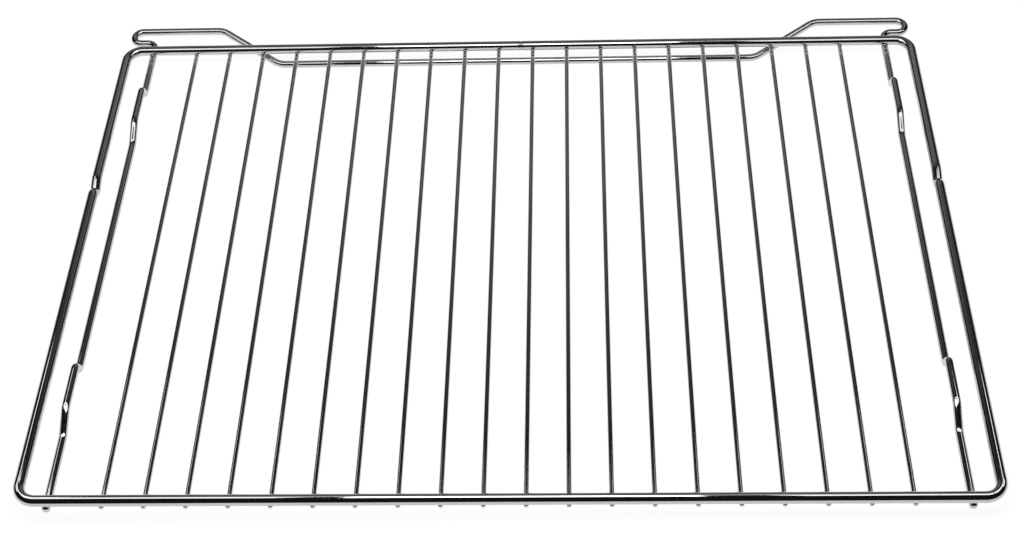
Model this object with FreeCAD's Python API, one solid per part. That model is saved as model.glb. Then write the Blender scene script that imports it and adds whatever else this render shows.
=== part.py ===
"""Oven shelf rack: a chromed wire shelf welded from an outer frame, one support wire and twenty rods."""
import FreeCAD, Part
import math
import os

V = FreeCAD.Vector

# Wire gauges; crossing wires lie on each other and are spot-welded where they touch
FRAME_DIA = 7.0
SUPPORT_DIA = 5.2
ROD_DIA = 3.2

# Bends are turned in mitres of at most this many degrees
FRAME_MITRE = 30.0
SUPPORT_MITRE = 31.0

# Outer frame, outside sizes and the bend radius of its centre-line
FRAME_WIDTH = 582.0
FRAME_DEPTH = 400.0
FRAME_CORNER = 11.0

# V-shaped dip in each side of the frame, measured from the rear bar's centre
DIP_FROM_REAR = 141.5
DIP_DEPTH = 3.2
DIP_REAR_SLOPE = 10.5
DIP_FRONT_SLOPE = 3.5
DIP_REAR_RADIUS = 10.0
DIP_FRONT_RADIUS = 4.0
DIP_BOTTOM_RADIUS = 4.0

# Rods
ROD_COUNT = 20
ROD_PITCH = 25.0
ROD_OVERHANG = 2.3      # past the centre of the front and the rear bar

# Support wire: legs under the sides, ears behind the rear bar, middle run under the rods
LEG_X = 270.5
LEG_OVERHANG = 3.4      # past the centre of the front bar
EAR_OUTER_X = 288.0     # centre-line at the ear's outermost point
EAR_BEHIND = 28.2       # ear's rear run, from the rear bar's centre
EAR_RADIUS = 6.5        # bend radius of the ear's turns
SLANT_EAR_X = 221.2     # corner between the ear and the slanting run
SLANT_MIDDLE_X = 175.4  # corner between the slanting run and the middle run
SLANT_RADIUS = 14.0
MIDDLE_FRONT = 6.4      # middle run, in front of the rear bar's centre

# Saw-tooth bumps on the legs: a steep riser at the rear, a crest flush with the frame's top, a ramp to the front
BUMPS_FROM_REAR = (40.5, 292.0)
BUMP_RISER = 2.2
BUMP_CREST = 32.0
BUMP_RAMP = 17.0
BUMP_RISER_RADIUS = 3.5
BUMP_BROW_RADIUS = 16.0
BUMP_TOE_RADIUS = 10.0

# Wire levels: the middle run lies on z = 0, the rods on it, the frame on the rods, the legs under the frame
frame_r = FRAME_DIA / 2
support_r = SUPPORT_DIA / 2
rod_r = ROD_DIA / 2
middle_z = support_r
rod_z = middle_z + support_r + rod_r
frame_z = rod_z + rod_r + frame_r
leg_z = frame_z - frame_r - support_r
crest_z = frame_z + frame_r - support_r

# The shelf's outside box is centred on the origin in plan
side_x = FRAME_WIDTH / 2 - frame_r
bar_span = FRAME_DEPTH - FRAME_DIA
overall_depth = FRAME_DEPTH - frame_r + EAR_BEHIND + support_r
front_y = -overall_depth / 2 + frame_r
rear_y = front_y + bar_span


def mitre_points(before, corner, after, radius, step):
    """The mitres of one bend: corners of the straight pieces that lie tangent to its arc."""
    back = (before - corner).normalize()
    ahead = (after - corner).normalize()
    half = back.getAngle(ahead) / 2
    turn = math.pi - 2 * half
    count = math.ceil(math.degrees(turn) / step)
    centre = corner + (back + ahead).normalize() * (radius / math.sin(half))
    outward = (corner + back * (radius / math.tan(half)) - centre).normalize()
    reach = radius / math.cos(turn / count / 2)
    mitres = []
    for number in range(count):
        angle = turn * (number + 0.5) / count
        mitres.append(centre + (outward * math.cos(angle) - back * math.sin(angle)) * reach)
    return mitres


def bent_wire(points, radii, wire_r, step):
    """A round wire swept through the points, with each inner point bent to its radius."""
    route = [points[0]]
    for before, corner, after, radius in zip(points, points[1:], points[2:], radii):
        route += mitre_points(before, corner, after, radius, step)
    route.append(points[-1])
    section = Part.Wire(Part.makeCircle(wire_r, route[0], route[1] - route[0]))
    right_corners = 1
    return Part.makePolygon(route).makePipeShell([section], True, False, right_corners)


def both_sides(half):
    """A half that ends on the middle plane, joined to its mirror image."""
    whole = half.fuse(half.mirror(V(0, 0, 0), V(1, 0, 0)))
    return whole.removeSplitter()


def outer_frame():
    """Half of the bent bar from the middle of its front run to the middle of its rear run, mirrored."""
    dip_y = rear_y - DIP_FROM_REAR
    points = [
        V(0, front_y, frame_z),
        V(side_x, front_y, frame_z),
        V(side_x, dip_y - DIP_FRONT_SLOPE, frame_z),
        V(side_x, dip_y, frame_z - DIP_DEPTH),
        V(side_x, dip_y + DIP_REAR_SLOPE, frame_z),
        V(side_x, rear_y, frame_z),
        V(0, rear_y, frame_z),
    ]
    radii = [FRAME_CORNER, DIP_FRONT_RADIUS, DIP_BOTTOM_RADIUS, DIP_REAR_RADIUS, FRAME_CORNER]
    return both_sides(bent_wire(points, radii, frame_r, FRAME_MITRE))


def leg_bump(from_rear):
    """Points and bend radii of one saw-tooth bump, from its front toe to its rear foot."""
    foot_y = rear_y - from_rear
    crest_rear_y = foot_y - BUMP_RISER
    crest_front_y = crest_rear_y - BUMP_CREST
    toe_y = crest_front_y - BUMP_RAMP
    points = [
        V(LEG_X, toe_y, leg_z),
        V(LEG_X, crest_front_y, crest_z),
        V(LEG_X, crest_rear_y, crest_z),
        V(LEG_X, foot_y, leg_z),
    ]
    radii = [BUMP_TOE_RADIUS, BUMP_BROW_RADIUS, BUMP_RISER_RADIUS, BUMP_RISER_RADIUS]
    return points, radii


def support_wire():
    """Half of the support wire from its front end to the middle of its middle run, mirrored."""
    points = [V(LEG_X, front_y - LEG_OVERHANG, leg_z)]
    radii = []
    for from_rear in sorted(BUMPS_FROM_REAR, reverse=True):
        bump_points, bump_radii = leg_bump(from_rear)
        points += bump_points
        radii += bump_radii
    ear_y = rear_y + EAR_BEHIND
    middle_y = rear_y - MIDDLE_FRONT
    points += [
        V(LEG_X, ear_y - 2 * EAR_RADIUS, leg_z),
        V(EAR_OUTER_X, ear_y - 2 * EAR_RADIUS, leg_z),
        V(EAR_OUTER_X, ear_y, leg_z),
        V(SLANT_EAR_X, ear_y, middle_z),
        V(SLANT_MIDDLE_X, middle_y, middle_z),
        V(0, middle_y, middle_z),
    ]
    radii += [EAR_RADIUS, EAR_RADIUS, EAR_RADIUS, SLANT_RADIUS, SLANT_RADIUS]
    return both_sides(bent_wire(points, radii, support_r, SUPPORT_MITRE))


def grid_rod(x):
    """One straight rod, cut to end just past the middle of both bars."""
    start = V(x, front_y - ROD_OVERHANG, rod_z)
    return Part.makeCylinder(rod_r, bar_span + 2 * ROD_OVERHANG, start, V(0, 1, 0))


def main():
    nodes = {"outer_frame": outer_frame(), "support_wire": support_wire()}
    first_x = -ROD_PITCH * (ROD_COUNT - 1) / 2
    for number in range(ROD_COUNT):
        nodes["grid_rod_%02d" % (number + 1)] = grid_rod(first_x + ROD_PITCH * number)

    os.makedirs("parts", exist_ok=True)
    for name, shape in nodes.items():
        shape.exportStep("parts/%s.step" % name)
        print(name, shape.isValid(), len(shape.Solids), round(shape.Volume, 1))


main()
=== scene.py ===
import bmesh
import bpy
import math
from mathutils import Matrix, Vector


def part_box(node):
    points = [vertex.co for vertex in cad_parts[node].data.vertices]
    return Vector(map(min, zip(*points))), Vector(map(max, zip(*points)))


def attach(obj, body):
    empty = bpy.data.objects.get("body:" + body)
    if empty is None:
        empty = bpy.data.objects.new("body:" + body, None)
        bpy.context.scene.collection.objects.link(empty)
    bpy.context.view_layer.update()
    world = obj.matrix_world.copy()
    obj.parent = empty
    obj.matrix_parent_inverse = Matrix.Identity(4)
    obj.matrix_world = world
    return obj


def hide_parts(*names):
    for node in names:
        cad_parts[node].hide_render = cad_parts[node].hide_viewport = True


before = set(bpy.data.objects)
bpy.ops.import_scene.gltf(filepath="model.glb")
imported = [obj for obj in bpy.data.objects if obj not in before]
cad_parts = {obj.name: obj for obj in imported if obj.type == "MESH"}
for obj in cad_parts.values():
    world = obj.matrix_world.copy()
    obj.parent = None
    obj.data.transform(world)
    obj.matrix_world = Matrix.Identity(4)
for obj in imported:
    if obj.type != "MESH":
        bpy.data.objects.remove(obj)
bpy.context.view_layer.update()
print("frame loaded:", len(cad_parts), "wires")

tiny = 1e-6
mergeGap = 5e-6
endMargin = 0.0024  # extra ring this far from each end of a run
shortRun = endMargin * 4  # no extra rings below this length
sharpAngle = 0.7  # radians, edges above it stay crisp
beadSides, beadRings = 10, 6


# wire helpers
def startRing(bm, spot, heading, radius, sides):  # a loop of edges square to the wire
    place = Matrix.Translation(spot) @ heading.to_track_quat("Z", "X").to_matrix().to_4x4()
    made = bmesh.ops.create_circle(bm, segments=sides, radius=radius, matrix=place)
    return list({edge for vert in made["verts"] for edge in vert.link_edges})


def vertsOf(edges):
    return list({vert for edge in edges for vert in edge.verts})


def pushRing(bm, edges, travel):  # plain straight run
    if travel.length < tiny:
        return edges
    made = bmesh.ops.extrude_edge_only(bm, edges=edges)["geom"]
    newEdges = [item for item in made if isinstance(item, bmesh.types.BMEdge)]
    newVerts = [item for item in made if isinstance(item, bmesh.types.BMVert)]
    oldCentre = sum((vert.co for vert in vertsOf(edges)), Vector()) / len(newVerts)
    bmesh.ops.translate(bm, verts=newVerts, vec=travel)
    newCentre = oldCentre + travel
    return [edge for edge in newEdges
            if all((vert.co - newCentre).dot(travel.normalized()) > -tiny for vert in edge.verts)]


def runRing(bm, edges, travel):  # straight run whose end rings keep its shading level
    if travel.length < shortRun:
        return pushRing(bm, edges, travel)
    margin = travel.normalized() * endMargin
    edges = pushRing(bm, edges, margin)
    edges = pushRing(bm, edges, travel - margin * 2)
    return pushRing(bm, edges, margin)


def turnRing(bm, edges, centre, axis, angle, stepAngle):  # bend
    steps = max(2, math.ceil(angle / stepAngle))
    made = bmesh.ops.spin(bm, geom=edges + vertsOf(edges), cent=centre, axis=axis, angle=angle, steps=steps)
    return [item for item in made["geom_last"] if isinstance(item, bmesh.types.BMEdge)]


def bendWire(bm, points, bends, radius, sides, stepAngle):  # returns the first and the last ring
    first = startRing(bm, points[0], (points[1] - points[0]).normalized(), radius, sides)
    ring, spot = first, points[0]
    for before, corner, after, bend in zip(points, points[1:], points[2:], bends):
        back, ahead = (before - corner).normalized(), (after - corner).normalized()
        half = back.angle(ahead) / 2
        trim = bend / math.tan(half)
        ring = runRing(bm, ring, corner + back * trim - spot)
        centre = corner + (back + ahead).normalized() * (bend / math.sin(half))
        ring = turnRing(bm, ring, centre, ahead.cross(back).normalized(), math.pi - 2 * half, stepAngle)
        spot = corner + ahead * trim
    return first, runRing(bm, ring, points[-1] - spot)


def capRing(bm, edges, roundOff, steps):  # cut end with its sharp edge taken off
    bmesh.ops.edgeloop_fill(bm, edges=edges)
    bmesh.ops.bevel(bm, geom=edges, offset=roundOff, offset_type="OFFSET", segments=steps,
                    affect="EDGES", profile=0.5, material=-1)


def weldBead(bm, spot, size):  # metal squeezed out where two wires cross
    place = Matrix.Translation(spot) @ Matrix.Diagonal((*size, 1))
    bmesh.ops.create_uvsphere(bm, u_segments=beadSides, v_segments=beadRings, radius=1, matrix=place)


def finishPiece(name, bm, node, finish):
    bmesh.ops.remove_doubles(bm, verts=bm.verts, dist=mergeGap)
    bmesh.ops.recalc_face_normals(bm, faces=bm.faces)
    for face in bm.faces:
        face.smooth = True
    for edge in bm.edges:
        edge.smooth = edge.calc_face_angle(0) < sharpAngle
    mesh = bpy.data.meshes.new(name)
    bm.to_mesh(mesh)
    bm.free()
    mesh.materials.append(finish)
    piece = bpy.data.objects.new(name, mesh)
    bpy.context.scene.collection.objects.link(piece)
    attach(piece, "root")
    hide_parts(node)


# chrome plate on drawn wire
chromeLook = dict(cloudScale=14.0, cloudDetail=3.0, toneSpan=(0.3, 0.7),
                  tones=((0.50, 0.51, 0.52), (0.56, 0.55, 0.53)),
                  hazeScale=160.0, hazeDetail=5.0, hazeSpan=(0.35, 0.75), gloss=0.05, dull=0.08)


def chromeFinish(name, look):
    material = bpy.data.materials.new(name)
    material.use_nodes = True
    nodes, links = material.node_tree.nodes, material.node_tree.links
    shader = nodes["Principled BSDF"]
    shader.inputs["Metallic"].default_value = 1.0
    coords = nodes.new("ShaderNodeTexCoord")

    def addNoise(scale, detail):
        noise = nodes.new("ShaderNodeTexNoise")
        noise.inputs["Scale"].default_value = scale
        noise.inputs["Detail"].default_value = detail
        links.new(coords.outputs["Object"], noise.inputs["Vector"])
        return noise

    cloud = addNoise(look["cloudScale"], look["cloudDetail"])  # slow drift of tone in the plating
    drift = nodes.new("ShaderNodeValToRGB")
    for element, position, tone in zip(drift.color_ramp.elements, look["toneSpan"], look["tones"]):
        element.position = position
        element.color = (*tone, 1)
    links.new(cloud.outputs["Fac"], drift.inputs["Fac"])
    links.new(drift.outputs["Color"], shader.inputs["Base Color"])

    haze = addNoise(look["hazeScale"], look["hazeDetail"])  # handling marks
    dull = nodes.new("ShaderNodeMapRange")
    dull.inputs["From Min"].default_value, dull.inputs["From Max"].default_value = look["hazeSpan"]
    dull.inputs["To Min"].default_value = look["gloss"]
    dull.inputs["To Max"].default_value = look["dull"]
    links.new(haze.outputs["Fac"], dull.inputs["Value"])
    links.new(dull.outputs["Result"], shader.inputs["Roughness"])
    return material


frameChrome = chromeFinish("frameChrome", chromeLook)
supportChrome = chromeFinish("supportChrome", chromeLook)
rodChrome = chromeFinish("rodChrome", chromeLook)
print("chrome mixed")


# outer frame: one bar bent round and butt-welded in its rear run
frameBar = dict(radius=0.0035, sides=36, stepAngle=math.radians(6), corner=0.011,
                dipBack=0.1415, dipDepth=0.0032, dipRearRun=0.0105, dipFrontRun=0.0035,
                dipRearRadius=0.010, dipFrontRadius=0.004, dipFloorRadius=0.004,
                weldX=0.004, weldWidth=0.0014, weldDepth=0.00045)
frameLow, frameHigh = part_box("outer_frame")
barRadius = frameBar["radius"]
sideX = frameHigh.x - barRadius
frontY, rearY = frameLow.y + barRadius, frameHigh.y - barRadius
barZ = frameHigh.z - barRadius


def sidePoints(side):  # rear corner, dip and front corner of one side
    dipY, dipZ = rearY - frameBar["dipBack"], barZ - frameBar["dipDepth"]
    route = [(rearY, barZ), (dipY + frameBar["dipRearRun"], barZ), (dipY, dipZ),
             (dipY - frameBar["dipFrontRun"], barZ), (frontY, barZ)]
    return [Vector((side * sideX, y, z)) for y, z in route]


def makeFrame():
    bm = bmesh.new()
    sideBends = [frameBar["corner"], frameBar["dipRearRadius"], frameBar["dipFloorRadius"],
                 frameBar["dipFrontRadius"], frameBar["corner"]]
    halfWeld = Vector((frameBar["weldWidth"] / 2, 0, 0))
    weldSpot = Vector((frameBar["weldX"], rearY, barZ))
    points = [weldSpot + halfWeld] + sidePoints(1) + sidePoints(-1)[::-1] + [weldSpot - halfWeld]
    first, last = bendWire(bm, points, sideBends + sideBends[::-1], barRadius,
                           frameBar["sides"], frameBar["stepAngle"])
    waist = pushRing(bm, last, halfWeld)  # groove at the butt weld
    shrink = 1 - frameBar["weldDepth"] / barRadius
    bmesh.ops.scale(bm, vec=(1, shrink, shrink), space=Matrix.Translation(-weldSpot), verts=vertsOf(waist))
    bmesh.ops.bridge_loops(bm, edges=waist + first)
    finishPiece("outerFrame", bm, "outer_frame", frameChrome)


makeFrame()
print("outer frame bent and welded")


# support wire: legs with saw-tooth bumps, level rear ears and the run under the rods
supportBend = dict(radius=0.0026, sides=28, stepAngle=math.radians(5), endRound=0.002, capSteps=5,
                   legX=0.2705, legOverhang=0.0034, legWeld=(0.0019, 0.0022, 0.0008),
                   bumpsBack=(0.292, 0.0405), riser=0.0022, crest=0.032, ramp=0.017,
                   riserRadius=0.0035, browRadius=0.016, toeRadius=0.010,
                   earRadius=0.0065, slantEarX=0.2212, slantMiddleX=0.1754,
                   slantRadius=0.014, middleFront=0.0064)
supportLow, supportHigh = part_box("support_wire")
supportRadius = supportBend["radius"]
legZ = barZ - barRadius - supportRadius
middleZ = supportLow.z + supportRadius
crestZ = supportHigh.z - supportRadius
middleY = rearY - supportBend["middleFront"]


def legAndEar(side):  # from the front end to the middle run's corner
    s = supportBend
    leg, bends = [(frontY - s["legOverhang"], legZ)], []
    for back in s["bumpsBack"]:
        footY = rearY - back
        crestRear = footY - s["riser"]
        crestFront = crestRear - s["crest"]
        leg += [(crestFront - s["ramp"], legZ), (crestFront, crestZ), (crestRear, crestZ), (footY, legZ)]
        bends += [s["toeRadius"], s["browRadius"], s["riserRadius"], s["riserRadius"]]
    earX, earY = supportHigh.x - supportRadius, supportHigh.y - supportRadius
    turnY = earY - 2 * s["earRadius"]
    route = [(s["legX"], y, z) for y, z in leg + [(turnY, legZ)]]
    route += [(earX, turnY, legZ), (earX, earY, legZ), (s["slantEarX"], earY, legZ),
              (s["slantMiddleX"], middleY, middleZ)]
    bends += [s["earRadius"]] * 3 + [s["slantRadius"]] * 2
    return [Vector((side * x, y, z)) for x, y, z in route], bends


def makeSupport():
    bm = bmesh.new()
    right, rightBends = legAndEar(1)
    left, leftBends = legAndEar(-1)
    first, last = bendWire(bm, right + left[::-1], rightBends + leftBends[::-1], supportRadius,
                           supportBend["sides"], supportBend["stepAngle"])
    for ring in (first, last):
        capRing(bm, ring, supportBend["endRound"], supportBend["capSteps"])
    for side in (-1, 1):  # legs welded under the front and the rear bar
        for y in (frontY, rearY):
            spot = Vector((side * supportBend["legX"], y, legZ + supportRadius))
            weldBead(bm, spot, supportBend["legWeld"])
    finishPiece("supportWire", bm, "support_wire", supportChrome)


makeSupport()
print("support wire bent")


# grid rods, each welded under both bars, most of them also on the middle run
gridRod = dict(radius=0.0016, sides=24, endRound=0.0012, capSteps=4,
               barWeld=(0.0013, 0.0017, 0.0006), runWeld=(0.0013, 0.0015, 0.0005))


def makeRod(node, number):
    low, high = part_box(node)
    x, z = (low.x + high.x) / 2, (low.z + high.z) / 2
    start, travel = Vector((x, low.y, z)), Vector((0, high.y - low.y, 0))
    bm = bmesh.new()
    first = startRing(bm, start, travel.normalized(), gridRod["radius"], gridRod["sides"])
    last = runRing(bm, first, travel)
    for ring in (first, last):
        capRing(bm, ring, gridRod["endRound"], gridRod["capSteps"])
    for y in (frontY, rearY):
        weldBead(bm, Vector((x, y, z + gridRod["radius"])), gridRod["barWeld"])
    if abs(x) < supportBend["slantMiddleX"]:
        weldBead(bm, Vector((x, middleY, z - gridRod["radius"])), gridRod["runWeld"])
    finishPiece("gridRod%02d" % number, bm, node, rodChrome)


rodNodes = sorted(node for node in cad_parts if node.startswith("grid_rod"))
for number, node in enumerate(rodNodes, start=1):
    makeRod(node, number)
print("rods set:", len(rodNodes))


# studio: white floor, light panels overhead with gaps between them, a grey cloth behind them, dark room
studio = dict(floorSize=12.0, paperWhite=0.925, paperShade=0.2, lampHeight=0.62,
              wallTones=((0.50, 0.012), (0.60, 0.02), (0.73, 0.03), (1.0, 0.03)),
              clothWidth=1.2, clothEdges=(0.30, 0.45, 0.62, 0.80, 1.05, 1.7),
              clothTones=(0.03, 0.07, 0.14, 0.20, 0.17))
panels = (dict(name="centrePanel", spot=(-0.009, -0.07), size=(0.338, 0.26), turn=0.0, glow=4.5),
          dict(name="leftPanel", spot=(-0.366, -0.043), size=(0.272, 0.212), turn=-10.0, glow=2.1),
          dict(name="rightPanel", spot=(0.37, -0.043), size=(0.264, 0.212), turn=10.0, glow=2.1),
          dict(name="rearPanel", spot=(0.0, 0.145), size=(1.0, 0.066), turn=0.0, glow=2.2),
          dict(name="leftStrip", spot=(-0.57, 0.14), size=(0.14, 0.48), turn=0.0, glow=2.0),
          dict(name="rightStrip", spot=(0.57, 0.125), size=(0.14, 0.45), turn=0.0, glow=2.0),
          dict(name="leftFar", spot=(-0.87, 0.165), size=(0.25, 0.23), turn=0.0, glow=2.0),
          dict(name="rightFar", spot=(0.87, 0.165), size=(0.25, 0.23), turn=0.0, glow=2.0))


def paperFinish():
    paper = bpy.data.materials.new("paper")
    paper.use_nodes = True
    nodes, links = paper.node_tree.nodes, paper.node_tree.links
    nodes.remove(nodes["Principled BSDF"])
    path = nodes.new("ShaderNodeLightPath")
    seen = nodes.new("ShaderNodeMath")
    seen.operation = "MAXIMUM"
    links.new(path.outputs["Is Camera Ray"], seen.inputs[0])
    links.new(path.outputs["Is Glossy Ray"], seen.inputs[1])
    matte = nodes.new("ShaderNodeBsdfDiffuse")  # plain paper to other rays
    white = nodes.new("ShaderNodeEmission")  # white to the lens and in the chrome
    white.inputs["Strength"].default_value = studio["paperWhite"]
    shade = nodes.new("ShaderNodeBsdfDiffuse")  # carries the shelf's faint shadow
    shade.inputs["Color"].default_value = (*[studio["paperShade"]] * 3, 1)
    both = nodes.new("ShaderNodeAddShader")
    links.new(white.outputs["Emission"], both.inputs[0])
    links.new(shade.outputs["BSDF"], both.inputs[1])
    mixed = nodes.new("ShaderNodeMixShader")
    links.new(seen.outputs["Value"], mixed.inputs["Fac"])
    links.new(matte.outputs["BSDF"], mixed.inputs[1])
    links.new(both.outputs["Shader"], mixed.inputs[2])
    links.new(mixed.outputs["Shader"], nodes["Material Output"].inputs["Surface"])
    return paper


def makeFloor():
    bm = bmesh.new()
    bmesh.ops.create_grid(bm, x_segments=1, y_segments=1, size=studio["floorSize"] / 2)
    mesh = bpy.data.meshes.new("floor")
    bm.to_mesh(mesh)
    bm.free()
    mesh.materials.append(paperFinish())
    floor = bpy.data.objects.new("floor", mesh)
    bpy.context.scene.collection.objects.link(floor)


def makeRoom():
    room = bpy.data.worlds.new("room")
    room.use_nodes = True
    bpy.context.scene.world = room
    nodes, links = room.node_tree.nodes, room.node_tree.links
    coords = nodes.new("ShaderNodeTexCoord")
    split = nodes.new("ShaderNodeSeparateXYZ")
    links.new(coords.outputs["Generated"], split.inputs["Vector"])
    wall = nodes.new("ShaderNodeValToRGB")  # black in front and overhead, a dim wall behind
    while len(wall.color_ramp.elements) < len(studio["wallTones"]):
        wall.color_ramp.elements.new(1.0)
    for element, (behind, grey) in zip(wall.color_ramp.elements, studio["wallTones"]):
        element.position = behind
        element.color = (grey, grey, grey, 1)
    links.new(split.outputs["Y"], wall.inputs["Fac"])
    links.new(wall.outputs["Color"], nodes["Background"].inputs["Color"])


def makePanel(panel):
    lamp = bpy.data.lights.new(panel["name"], "AREA")
    lamp.shape = "RECTANGLE"
    lamp.size, lamp.size_y = panel["size"]
    lamp.energy = panel["glow"] * math.pi * lamp.size * lamp.size_y
    light = bpy.data.objects.new(panel["name"], lamp)
    light.location = (*panel["spot"], studio["lampHeight"])
    light.rotation_euler.z = math.radians(panel["turn"])
    bpy.context.scene.collection.objects.link(light)


def makeCloth():  # in strips, the darkest next to the panels
    edges = studio["clothEdges"]
    for near, far, tone in zip(edges, edges[1:], studio["clothTones"]):
        makePanel(dict(name="cloth", spot=(0.0, (near + far) / 2), size=(studio["clothWidth"], far - near),
                       turn=0.0, glow=tone))


makeFloor()
makeRoom()
for panel in panels:
    makePanel(panel)
makeCloth()
print("studio lit:", len(panels), "panels and the cloth")


# camera where the photograph was taken
lens = dict(spot=(0.04264, -0.73135, 0.82225), turn=(40.772, 2.0364, 1.0309), focal=57.833)
camData = bpy.data.cameras.new("camera")
camData.lens = lens["focal"]
camera = bpy.data.objects.new("camera", camData)
camera.location = lens["spot"]
camera.rotation_euler = [math.radians(angle) for angle in lens["turn"]]
bpy.context.scene.collection.objects.link(camera)
bpy.context.scene.camera = camera
bpy.context.scene.view_settings.view_transform = "Standard"
